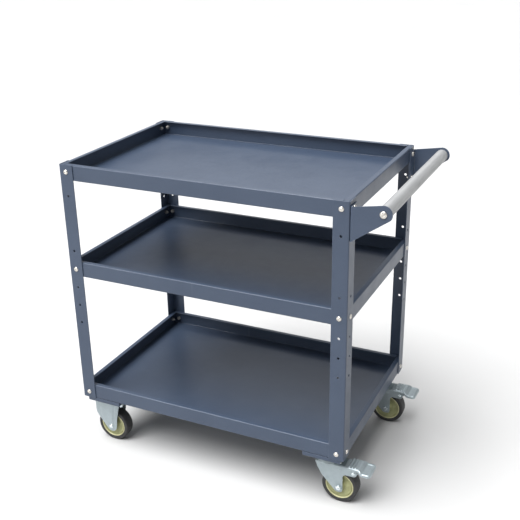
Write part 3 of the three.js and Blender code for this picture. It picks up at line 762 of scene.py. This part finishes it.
def axle_parts(name, body, axle):
    """The bush, the bolt with its head towards the cart's middle, and the locking nut outside."""
    side = 1 if axle.y > 0 else -1
    reach = FORK_INSIDE - AIR
    bore, edge, radius = 4.3 * MM, 6.6 * MM, 7 * MM
    chamfer = 0.4 * MM
    rings = [(bore, -reach), (edge, -reach), (radius, -reach + chamfer)]
    rings += [(radius, reach - chamfer), (edge, reach), (bore, reach)]
    bush = turn(rings, "y", (0, 0), 48)
    place(f"{name}_axle_bush", "turned", bush, ZINC, body, axle)

    face = FORK_OUTSIDE + AIR
    half_flats, head, shank, nut_height = 6.5 * MM, 5.3 * MM, 4 * MM, 6.5 * MM
    rings = [(0, -face - head * 0.94), (half_flats * 0.55, -face - head * 0.94),
             (half_flats * 0.93, -face - head)]
    rings += [(half_flats, -face - head * 0.86, "hex"), (half_flats, -face - head * 0.1, "hex")]
    rings += [(half_flats * 0.95, -face), (shank, -face), (shank, face)]
    rings += threads(shank, face, face + nut_height + 1.6 * MM)
    rings += [(shank * 0.72, face + nut_height + 2.4 * MM), (0, face + nut_height + 2.4 * MM)]
    bolt = turn([(ring[0], side * ring[1], *ring[2:]) for ring in rings], "y", (0, 0), 36)
    place(f"{name}_axle_bolt", "threaded", bolt, BRIGHT_ZINC, body, axle)
    hexagon, collar = nut_height * 0.78, nut_height * 0.22
    nut = hex_nut("y", (0, 0), side * face, side, 2 * half_flats, hexagon, shank + 0.1 * MM, collar=collar)
    place(f"{name}_axle_nut", "locking", nut, BRIGHT_ZINC, body, axle)


# ---------------------------------------------------------------- casters


def plate_bolt_places(middle_x, middle_y):
    """The four bolt holes of a caster plate."""
    half_x, half_y = PLATE_HOLES
    return [(middle_x + sx * half_x, middle_y + sy * half_y) for sx in (-1, 1) for sy in (-1, 1)]


def caster_bolts(name, end_name, middle_y):
    """The four bolts that hold a caster plate to its beam, heads inside the beam and nuts below."""
    bolts = bmesh.new()
    beam_low, beam_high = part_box(f"caster_beam_{end_name}")
    top = beam_low.z + BEAM_SHEET
    plate_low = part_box(name)[1].z - PLATE_SHEET
    for at in plate_bolt_places((beam_low.x + beam_high.x) / 2, middle_y):
        washer("z", at, plate_low - 0.05 * MM, -1, 8 * MM, 4.2 * MM, 1.5 * MM, bolts)
        hex_nut("z", at, plate_low - 1.6 * MM, -1, 13 * MM, 6.2 * MM, 3.9 * MM, bolts)
        button_screw("z", at, top, 1, 7.4 * MM, 4.2 * MM, 4 * MM, top - plate_low + 11.5 * MM, bolts)
    finished(name, "bolts", bolts, BRIGHT_ZINC, FRAME_BODY, replaces=False)


def leg_edges(z, top):
    """The left and right edge of a fixed fork's leg at a height over the axle, both in metres."""
    foot, left_tangent, left_start = 15.5 * MM, -10.4 * MM, -11.5 * MM
    left = ((top, -46.5), (46 * MM, -46.5), (40 * MM, -46.2), (34 * MM, -44.6), (29 * MM, -42),
            (24 * MM, -38.6))
    knee, knee_out, shoulder_out = 22 * MM, 17 * MM, 14 * MM
    round_foot = math.sqrt(max(foot * foot - z * z, 0.0))
    last_z, last_x = left[-1]
    if z > last_z:
        for (z_high, x_high), (z_low, x_low) in zip(left, left[1:]):
            if z >= z_low:
                x_left = (x_low + (x_high - x_low) * (z - z_low) / (z_high - z_low)) * MM
                break
    elif z > left_tangent:
        share = (z - left_tangent) / (last_z - left_tangent)
        x_left = left_start + share * (last_x * MM - left_start)
    else:
        x_left = -round_foot
    if z > knee:
        x_right = knee_out + (z - knee) / (top - knee) * shoulder_out
    elif z > 0:
        x_right = foot + z / knee * (knee_out - foot)
    else:
        x_right = round_foot
    return x_left, x_right


def fixed_fork(side_name, axle):
    """A plate with two fluted legs that flare into it."""
    node = f"{side_name}_fixed_fork"
    plate_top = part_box(node)[1].z
    plate_under = plate_top - PLATE_SHEET
    beam_low, beam_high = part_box("caster_beam_left")
    centre_x = (beam_low.x + beam_high.x) / 2
    half_x, half_y = PLATE_HALF
    corners = [(centre_x + sx * half_x, axle.y + sy * half_y, PLATE_CORNER) for sx, sy in QUADRANTS]
    plate = prism(rounded(corners), plate_under, plate_top, "z")
    holes = bmesh.new()
    for at in plate_bolt_places(centre_x, axle.y):
        hole(at, PLATE_HOLE_RADIUS, plate_under - MM, plate_top + MM, "z", holes)
    fork = combine(plate, holes)

    foot = 15.5 * MM
    top = plate_under - axle.z + 0.4 * MM
    rise = 2.6 * MM
    rows_above, rows_below, columns = 46, 16, 44

    def leg_point(sign, i, j):
        if j <= rows_above:
            z = top * (1 - j / rows_above)
        else:
            z = -foot * math.sin((j - rows_above) / rows_below * math.pi / 2)
        x_left, x_right = leg_edges(z, top)
        share = i / columns
        x = x_left + (x_right - x_left) * share
        fade = min(1.0, max(0.0, (z + 3 * MM) / (14 * MM))) * min(1.0, max(0.0, (top - z) / (10 * MM)))
        step_left = rise / (1 + math.exp(-(share - 0.26) / 0.022))
        step_right = rise / (1 + math.exp((share - 0.78) / 0.014))
        curl = 1.2 * MM * max(0.0, (share - 0.88) / 0.12) ** 1.3
        curl += 1.2 * MM * max(0.0, (0.07 - share) / 0.07) ** 2
        flute = step_left + step_right - rise
        flare = 4.5 * MM * max(0.0, 1 - (top - z) / (6 * MM)) ** 2
        y = FORK_OUTSIDE + fade * (flute - curl) + flare
        return Vector((axle.x + x, axle.y + sign * y, axle.z + z))

    for sign in (-1, 1):
        def at(i, j, sign=sign):
            return leg_point(sign, columns - i if sign > 0 else i, j)

        fork = surface(columns, rows_above + rows_below, at, FORK_SHEET, fork)
    finished(node, "pressed", fork, ZINC, FRAME_BODY, 0.4 * MM)


def swivel_fork(name, kingpin, axle, pin):
    """The yoke: a crown folded into two flat legs that trail behind the kingpin, with arms for the brake."""
    bend = 4.5 * MM
    out, inside, skirt = FORK_OUTSIDE, FORK_INSIDE, CROWN_TOP - 90 * MM
    corners = [(-out, skirt, 0), (-out, CROWN_TOP, bend), (out, CROWN_TOP, bend), (out, skirt, 0),
               (inside, skirt, 0), (inside, CROWN_TOP - FORK_SHEET, bend - FORK_SHEET),
               (-inside, CROWN_TOP - FORK_SHEET, bend - FORK_SHEET), (-inside, skirt, 0)]
    channel = [(kingpin.y + u, v) for u, v in rounded(corners)]
    folded = prism(channel, kingpin.x - 60 * MM, kingpin.x + 100 * MM, "x")

    k, a = kingpin.x, axle.x
    foot, arm, arm_under = axle.z - 14.5 * MM, a + 9.3 * MM, pin.z - 9 * MM
    outline = rounded([(k - 27 * MM, CROWN_TOP + MM, 0), (k - 26.8 * MM, CROWN_TOP - 3 * MM, 0),
                       (k - 20.5 * MM, CROWN_TOP - 19 * MM, 30 * MM),
                       (k - 10 * MM, CROWN_TOP - 38.5 * MM, 40 * MM),
                       (a - 7.6 * MM, foot, 7 * MM), (arm, foot, 7 * MM),
                       (arm, arm_under, 9 * MM), (pin.x - MM, arm_under, 0)])
    outline += arc((pin.x, pin.z), 9 * MM, -90, 75, 14)
    outline += [(k + 55 * MM, CROWN_TOP - 2.5 * MM), (k + 49 * MM, CROWN_TOP - 0.2 * MM)]
    outline += [(k + 49 * MM, CROWN_TOP + MM)]
    profile = prism(outline, kingpin.y - CUT, kingpin.y + CUT, "y")
    yoke = combine(folded, profile, "INTERSECT")

    bottom = 0.1 * MM - FORK_SHEET
    dome = [(KINGPIN_BORE, bottom), (26.5 * MM, bottom), (26.5 * MM, 0.1 * MM), (25.4 * MM, 1.4 * MM),
            (24.6 * MM, 4 * MM), (23.4 * MM, 7 * MM), (21.6 * MM, 8 * MM), (18.5 * MM, 6.6 * MM),
            (15.5 * MM, 8 * MM), (KINGPIN_BORE, 8 * MM)]
    race = turn([(radius, CROWN_TOP + height) for radius, height in dome], "z", (k, kingpin.y), 64)
    yoke = combine(yoke, race, "UNION")
    cuts = hole((k, kingpin.y), KINGPIN_BORE, CROWN_TOP - 20 * MM, CROWN_TOP + 20 * MM, "z")
    for at, radius in (((a, axle.z), 4.3 * MM), ((pin.x, pin.z), BRAKE_PIN_BORE)):
        hole(at, radius, kingpin.y - CUT, kingpin.y + CUT, "y", cuts)
    yoke = combine(yoke, cuts)
    dimple = [(0, MM), (1.3 * MM, 0.9 * MM), (2.3 * MM, 0.4 * MM), (2.8 * MM, 0), (2.8 * MM, -MM), (0, -MM)]
    for side in SIDES.values():
        face = kingpin.y + side * FORK_OUTSIDE
        turn([(r, face + side * h) for r, h in dimple], "y", (k + 36.5 * MM, 97.5 * MM), 24, yoke)
    finished(f"{name}_fork", "folded", yoke, ZINC, f"{name}_yoke", 0.4 * MM)


def swivel_plate(name, kingpin):
    """The top plate, with the dish of its race pressed into it."""
    low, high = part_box(f"{name}_top_plate")
    under = high.z - PLATE_SHEET
    middle = (low + high) / 2
    outline = ((low.x, low.y), (high.x, low.y), (high.x, high.y), (low.x, high.y))
    plate = prism(rounded([(x, y, PLATE_CORNER) for x, y in outline]), under, high.z, "z")
    rings = [(KINGPIN_BORE, low.z), (17 * MM, low.z), (20 * MM, low.z + 0.9 * MM), (23 * MM, low.z),
             (25 * MM, low.z + 1.2 * MM), (27 * MM, low.z + 4 * MM), (29.5 * MM, under - 0.6 * MM),
             (31.5 * MM, under + 0.5 * MM), (KINGPIN_BORE, under + 0.5 * MM)]
    plate = combine(plate, turn(rings, "z", (kingpin.x, kingpin.y), 64), "UNION")
    holes = hole((kingpin.x, kingpin.y), KINGPIN_BORE, low.z - MM, high.z + MM, "z")
    for at in plate_bolt_places(middle.x, kingpin.y):
        hole(at, PLATE_HOLE_RADIUS, under - MM, high.z + MM, "z", holes)
    plate = combine(plate, holes)
    finished(f"{name}_top_plate", "pressed", plate, ZINC, FRAME_BODY, 0.4 * MM)


def ball_ring(name, kingpin):
    """A ring of balls in a thin cage."""
    low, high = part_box(f"{name}_ball_ring")
    height = (low.z + high.z) / 2
    ball = (high.z - low.z) / 2 - 0.05 * MM
    cage, inner, outer, pitch_radius, count = 0.9 * MM, 15 * MM, 22 * MM, 18.5 * MM, 18
    rings = [(inner, height - cage), (outer, height - cage), (outer + 0.4 * MM, height),
             (outer, height + cage),
             (inner, height + cage), (inner - 0.4 * MM, height)]
    ring = turn(rings, "z", (kingpin.x, kingpin.y), 64)
    for x, y in arc((kingpin.x, kingpin.y), pitch_radius, 0, 360 - 360 / count, count - 1):
        at = Matrix.Translation((x, y, height))
        bmesh.ops.create_uvsphere(ring, u_segments=16, v_segments=10, radius=ball, matrix=at)
    finished(f"{name}_ball_ring", "caged", ring, ZINC, FRAME_BODY)


def kingpin_rivet(name, kingpin):
    """The kingpin, riveted over below the crown."""
    low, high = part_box(f"{name}_kingpin")
    head = [(0, 0.3), (6, 0), (9, 0.2), (10, 1.2), (10, 2.8), (9.6, 3.2), (6, 3.2)]
    rings = [(radius * MM, low.z + height * MM) for radius, height in head]
    rings += [(6 * MM, high.z - MM), (5 * MM, high.z), (0, high.z)]
    pin = turn(rings, "z", (kingpin.x, kingpin.y), 48)
    finished(f"{name}_kingpin", "riveted", pin, ZINC, FRAME_BODY)


# ---------------------------------------------------------------- brakes


def smooth(value, start, end):
    """0 before start, 1 past end and a smooth rise between them."""
    share = min(1.0, max(0.0, (value - start) / (end - start)))
    return share * share * (3 - 2 * share)


def brake_pedal(name, kingpin, pin):
    """The pedal: a ribbed sheet that bends down to a tread with a pressed panel, and two skirts below it.
    Lengths along it start at the kingpin."""
    low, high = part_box(f"{name}_brake_pedal")
    start, end = low.x - kingpin.x, high.x - kingpin.x
    neck, tread, corner, drop = 21.2 * MM, 25.5 * MM, 7 * MM, 6 * MM
    bend, flat = 87 * MM, 96 * MM
    ribs = (61 * MM, 68.5 * MM, 76 * MM)
    sheet, curl, turned_down, pressed = 1.8 * MM, 2.6 * MM, 5.2 * MM, 1.1 * MM
    last_flat, quarter = end - corner, corner - curl
    xs = [start + (last_flat - start) * step / 140 for step in range(141)]
    xs += [last_flat + quarter * math.sin(step / 14 * math.pi / 2) for step in range(1, 15)]
    last = len(xs) - 1
    columns, fold, bent = 56, 8, 5

    def half_width(x, inset=0.0):
        width = neck + (tread - neck) * smooth(x, 83 * MM, 92 * MM) - inset
        over = x - last_flat
        if over > 0:
            radius = corner - inset
            width = tread - corner + math.sqrt(max(radius * radius - over * over, 0.0))
        return width

    def top_height(x, y):
        height = CROWN_TOP - drop * smooth(x, bend - 3 * MM, flat)
        for rib in ribs:
            across = 1 - smooth(abs(y), 17 * MM, 19 * MM)
            height += 1.9 * MM * math.exp(-((x - rib) / (1.3 * MM)) ** 2) * across
        panel = smooth(x, 88 * MM, 91 * MM) * (1 - smooth(x, end - 6.0 * MM, end - 4.6 * MM))
        panel *= 1 - smooth(abs(y), half_width(x) - 6.4 * MM, half_width(x) - 5.0 * MM)
        return height - pressed * panel

    def outward(x, sign):
        """The direction out of the pedal's outline, seen from above."""
        over = max(0.0, min(1.0, (x - last_flat) / quarter))
        return over, sign * math.sqrt(1 - over * over)

    def at(i, j):
        """Rows run along the pedal and over its end; columns run across it and over its sides."""
        end_step = max(0, j - last)
        side_step = max(0, fold - i, i - (columns + fold))
        x = xs[min(j, last)]
        share = min(1.0, max(-1.0, (i - fold) / columns * 2 - 1))
        y = share * half_width(x, curl)
        out_x, out_y = (1.0, 0.0) if end_step else outward(x, share)
        step = max(end_step, side_step)
        angle = min(step, bent) / bent * math.pi / 2
        reach = curl * math.sin(angle)
        down = curl * (1 - math.cos(angle)) + max(0, step - bent) / (fold - bent) * (turned_down - curl)
        return Vector((kingpin.x + x + out_x * reach, kingpin.y + y + out_y * reach, top_height(x, y) - down))

    pedal = surface(columns + 2 * fold, last + fold, at, sheet)
    under = CROWN_TOP - 2.5 * MM
    skirt = [(low.x + MM, under, 0), (low.x + MM, pin.z + 3 * MM, MM),
             (pin.x - 5 * MM, pin.z - 6 * MM, 4 * MM),
             (pin.x + 7 * MM, pin.z - 5 * MM, 4 * MM), (kingpin.x + bend - 2 * MM, under - 7 * MM, 2 * MM),
             (kingpin.x + bend - 2 * MM, under, 0)]
    for side in SIDES.values():
        inner, outer = sorted((kingpin.y + side * 14.5 * MM, kingpin.y + side * 16.5 * MM))
        prism(rounded(skirt), inner, outer, "y", pedal)
    finished(f"{name}_brake_pedal", "pressed", pedal, ZINC, f"{name}_brake", 0.3 * MM)


def brake_shoe(name, kingpin, axle, pin):
    """The cam under the pedal that closes on the tyre."""
    half_width, clearance = 12 * MM, 46.5 * MM + 3.3 * MM
    top = CROWN_TOP - 2.8 * MM
    outline = [(pin.x - 8 * MM, top)]
    outline += arc((axle.x, axle.z), clearance, 56, 44, 14)
    outline += arc((pin.x + 2 * MM, pin.z - 5 * MM), 5.5 * MM, -60, 10, 6)
    outline += [(pin.x + 7 * MM, top)]
    cam = prism(outline, kingpin.y - half_width, kingpin.y + half_width, "y")
    bore = hole((pin.x, pin.z), BRAKE_PIN_BORE, kingpin.y - 20 * MM, kingpin.y + 20 * MM, "y")
    finished(f"{name}_brake_shoe", "cam", combine(cam, bore), ZINC, f"{name}_brake", 0.6 * MM)


def brake_pin(name, kingpin, pin):
    """The pin through the fork's arms, riveted over at both ends."""
    face = FORK_OUTSIDE + AIR
    dome = ((0, 1.8), (2, 1.75), (3.6, 1.3), (4.5, 0.4))
    head = [(radius * MM, face + height * MM) for radius, height in dome] + [(4.6 * MM, face), (3 * MM, face)]
    rings = head + [(radius, -height) for radius, height in reversed(head)]
    rivet = turn([(radius, kingpin.y + height) for radius, height in rings], "y", (pin.x, pin.z), 36)
    finished(f"{name}_brake_pin", "riveted", rivet, BRIGHT_ZINC, f"{name}_yoke")


def brake_spring(name):
    """The leaf spring that lifts the pedal."""
    low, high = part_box(f"{name}_brake_spring")
    rows, columns = 24, 6
    length, sag = high.x - low.x, high.z - low.z - 0.8 * MM

    def leaf(i, j):
        share = j / rows
        y = low.y + (high.y - low.y) * i / columns
        return Vector((low.x + length * share, y, high.z - sag * smooth(share, 0.7, 1.0)))

    spring = surface(columns, rows, leaf, 0.75 * MM)
    finished(f"{name}_brake_spring", "leaf", spring, SPRING, f"{name}_yoke", 0.15 * MM)


# ---------------------------------------------------------------- the cart

for end_name in ENDS:
    for side_name in SIDES:
        post(side_name, end_name)
    caster_beam(end_name)
for level in LEVELS:
    tray(level)
    shelf_screws(level)
handle()

for side_name in SIDES:
    fixed = f"{side_name}_fixed"
    axle = joint_point(f"{fixed}_wheel_spin")
    fixed_fork(side_name, axle)
    tyre_and_hub(fixed, f"{fixed}_wheel", axle)
    axle_parts(fixed, FRAME_BODY, axle)
    caster_bolts(f"{fixed}_fork", "left", axle.y)

    swivel = f"{side_name}_swivel"
    kingpin = joint_point(f"{swivel}_turn")
    axle = joint_point(f"{swivel}_wheel_spin")
    pin = joint_point(f"{swivel}_brake_press")
    swivel_plate(swivel, kingpin)
    ball_ring(swivel, kingpin)
    kingpin_rivet(swivel, kingpin)
    swivel_fork(swivel, kingpin, axle, pin)
    tyre_and_hub(swivel, f"{swivel}_wheel", axle)
    axle_parts(swivel, f"{swivel}_yoke", axle)
    brake_pedal(swivel, kingpin, pin)
    brake_shoe(swivel, kingpin, axle, pin)
    brake_pin(swivel, kingpin, pin)
    brake_spring(swivel)
    caster_bolts(f"{swivel}_top_plate", "right", axle.y)


# ---------------------------------------------------------------- floor, light, camera

CAMERA_PLACE = (0.8786, -1.8352, 1.3684)
CAMERA_ANGLES = (-25.554, -22.704, -1.018)  # yaw, pitch and roll in degrees
CAMERA_LENS = 59.05
CAMERA_SENSOR = 36
SKY_BANDS = ((0.0, 0.92), (0.17, 0.88), (0.30, 0.16), (0.55, 0.24), (1.0, 0.62))  # height, brightness


def studio_floor():
    """A wide pale floor just under the wheels."""
    bm = bmesh.new()
    half, height = 30.0, -0.2 * MM
    corners = [bm.verts.new((x * half, y * half, height)) for x, y in QUADRANTS]
    bm.faces.new(corners)
    mesh = bpy.data.meshes.new("studio_floor")
    bm.to_mesh(mesh)
    bm.free()
    nodes = Nodes("studio_floor")
    tone = nodes.ramp(nodes.noise(2.0, 3, 0.5), (0.3, 0.47), (0.7, 0.49))
    nodes.tree.links.new(tone, nodes.shader.inputs["Base Color"])
    nodes.shader.inputs["Roughness"].default_value = 0.7
    mesh.materials.append(nodes.material)
    floor = bpy.data.objects.new("studio_floor", mesh)
    scene.collection.objects.link(floor)


def area_light(name, place, target, size, power):
    """A softbox at one place, turned towards another."""
    data = bpy.data.lights.new(name, "AREA")
    data.shape = "RECTANGLE"
    data.size, data.size_y = size
    data.energy = power
    light = bpy.data.objects.new(name, data)
    light.location = place
    light.rotation_euler = (Vector(target) - Vector(place)).to_track_quat("-Z", "Y").to_euler()
    scene.collection.objects.link(light)


def camera():
    """A camera that looks down at the cart from the front right."""
    yaw, pitch, roll = (math.radians(angle) for angle in CAMERA_ANGLES)
    forward = Vector((math.sin(yaw) * math.cos(pitch), math.cos(yaw) * math.cos(pitch), math.sin(pitch)))
    level = Vector((math.cos(yaw), -math.sin(yaw), 0))
    upright = level.cross(forward)
    right = math.cos(roll) * level + math.sin(roll) * upright
    up = -math.sin(roll) * level + math.cos(roll) * upright
    data = bpy.data.cameras.new("camera")
    data.sensor_width = CAMERA_SENSOR
    data.lens = CAMERA_LENS
    made = bpy.data.objects.new("camera", data)
    turned = Matrix((right, up, -forward)).transposed().to_4x4()
    made.matrix_world = Matrix.Translation(CAMERA_PLACE) @ turned
    scene.collection.objects.link(made)
    scene.camera = made


def soft_sun(name, place, irradiance, spread):
    """A wide, distant light that shines from the given place towards the cart."""
    data = bpy.data.lights.new(name, "SUN")
    data.energy = irradiance
    data.angle = math.radians(spread)
    light = bpy.data.objects.new(name, data)
    light.rotation_euler = Vector(place).to_track_quat("Z", "Y").to_euler()
    scene.collection.objects.link(light)


def studio_sky():
    """A studio with a white backdrop round it, dim above that and brighter overhead."""
    world = bpy.data.worlds.new("studio_sky")
    world.use_nodes = True
    tree = world.node_tree
    direction = tree.nodes.new("ShaderNodeTexCoord").outputs["Generated"]
    height = tree.nodes.new("ShaderNodeSeparateXYZ")
    tree.links.new(direction, height.inputs["Vector"])
    ramp = tree.nodes.new("ShaderNodeValToRGB")
    tree.links.new(height.outputs["Z"], ramp.inputs["Fac"])
    for _ in SKY_BANDS[2:]:
        ramp.color_ramp.elements.new(0.5)
    for element, (position, value) in zip(ramp.color_ramp.elements, SKY_BANDS):
        element.position = position
        element.color = (value * 0.98, value * 0.99, value, 1)
    tree.links.new(ramp.outputs["Color"], tree.nodes["Background"].inputs["Color"])
    scene.world = world


studio_floor()
studio_sky()
soft_sun("overhead", (-0.3, -0.6, 1.5), 6.1, 50)
area_light("key", (-1.9, -2.4, 1.9), (0, 0, 0.45), (1.2, 1.2), 20)
area_light("back", (-0.7, 2.3, 2.9), (0, 0, 0.6), (2.6, 1.6), 30)
camera()
scene.view_settings.view_transform = "Standard"
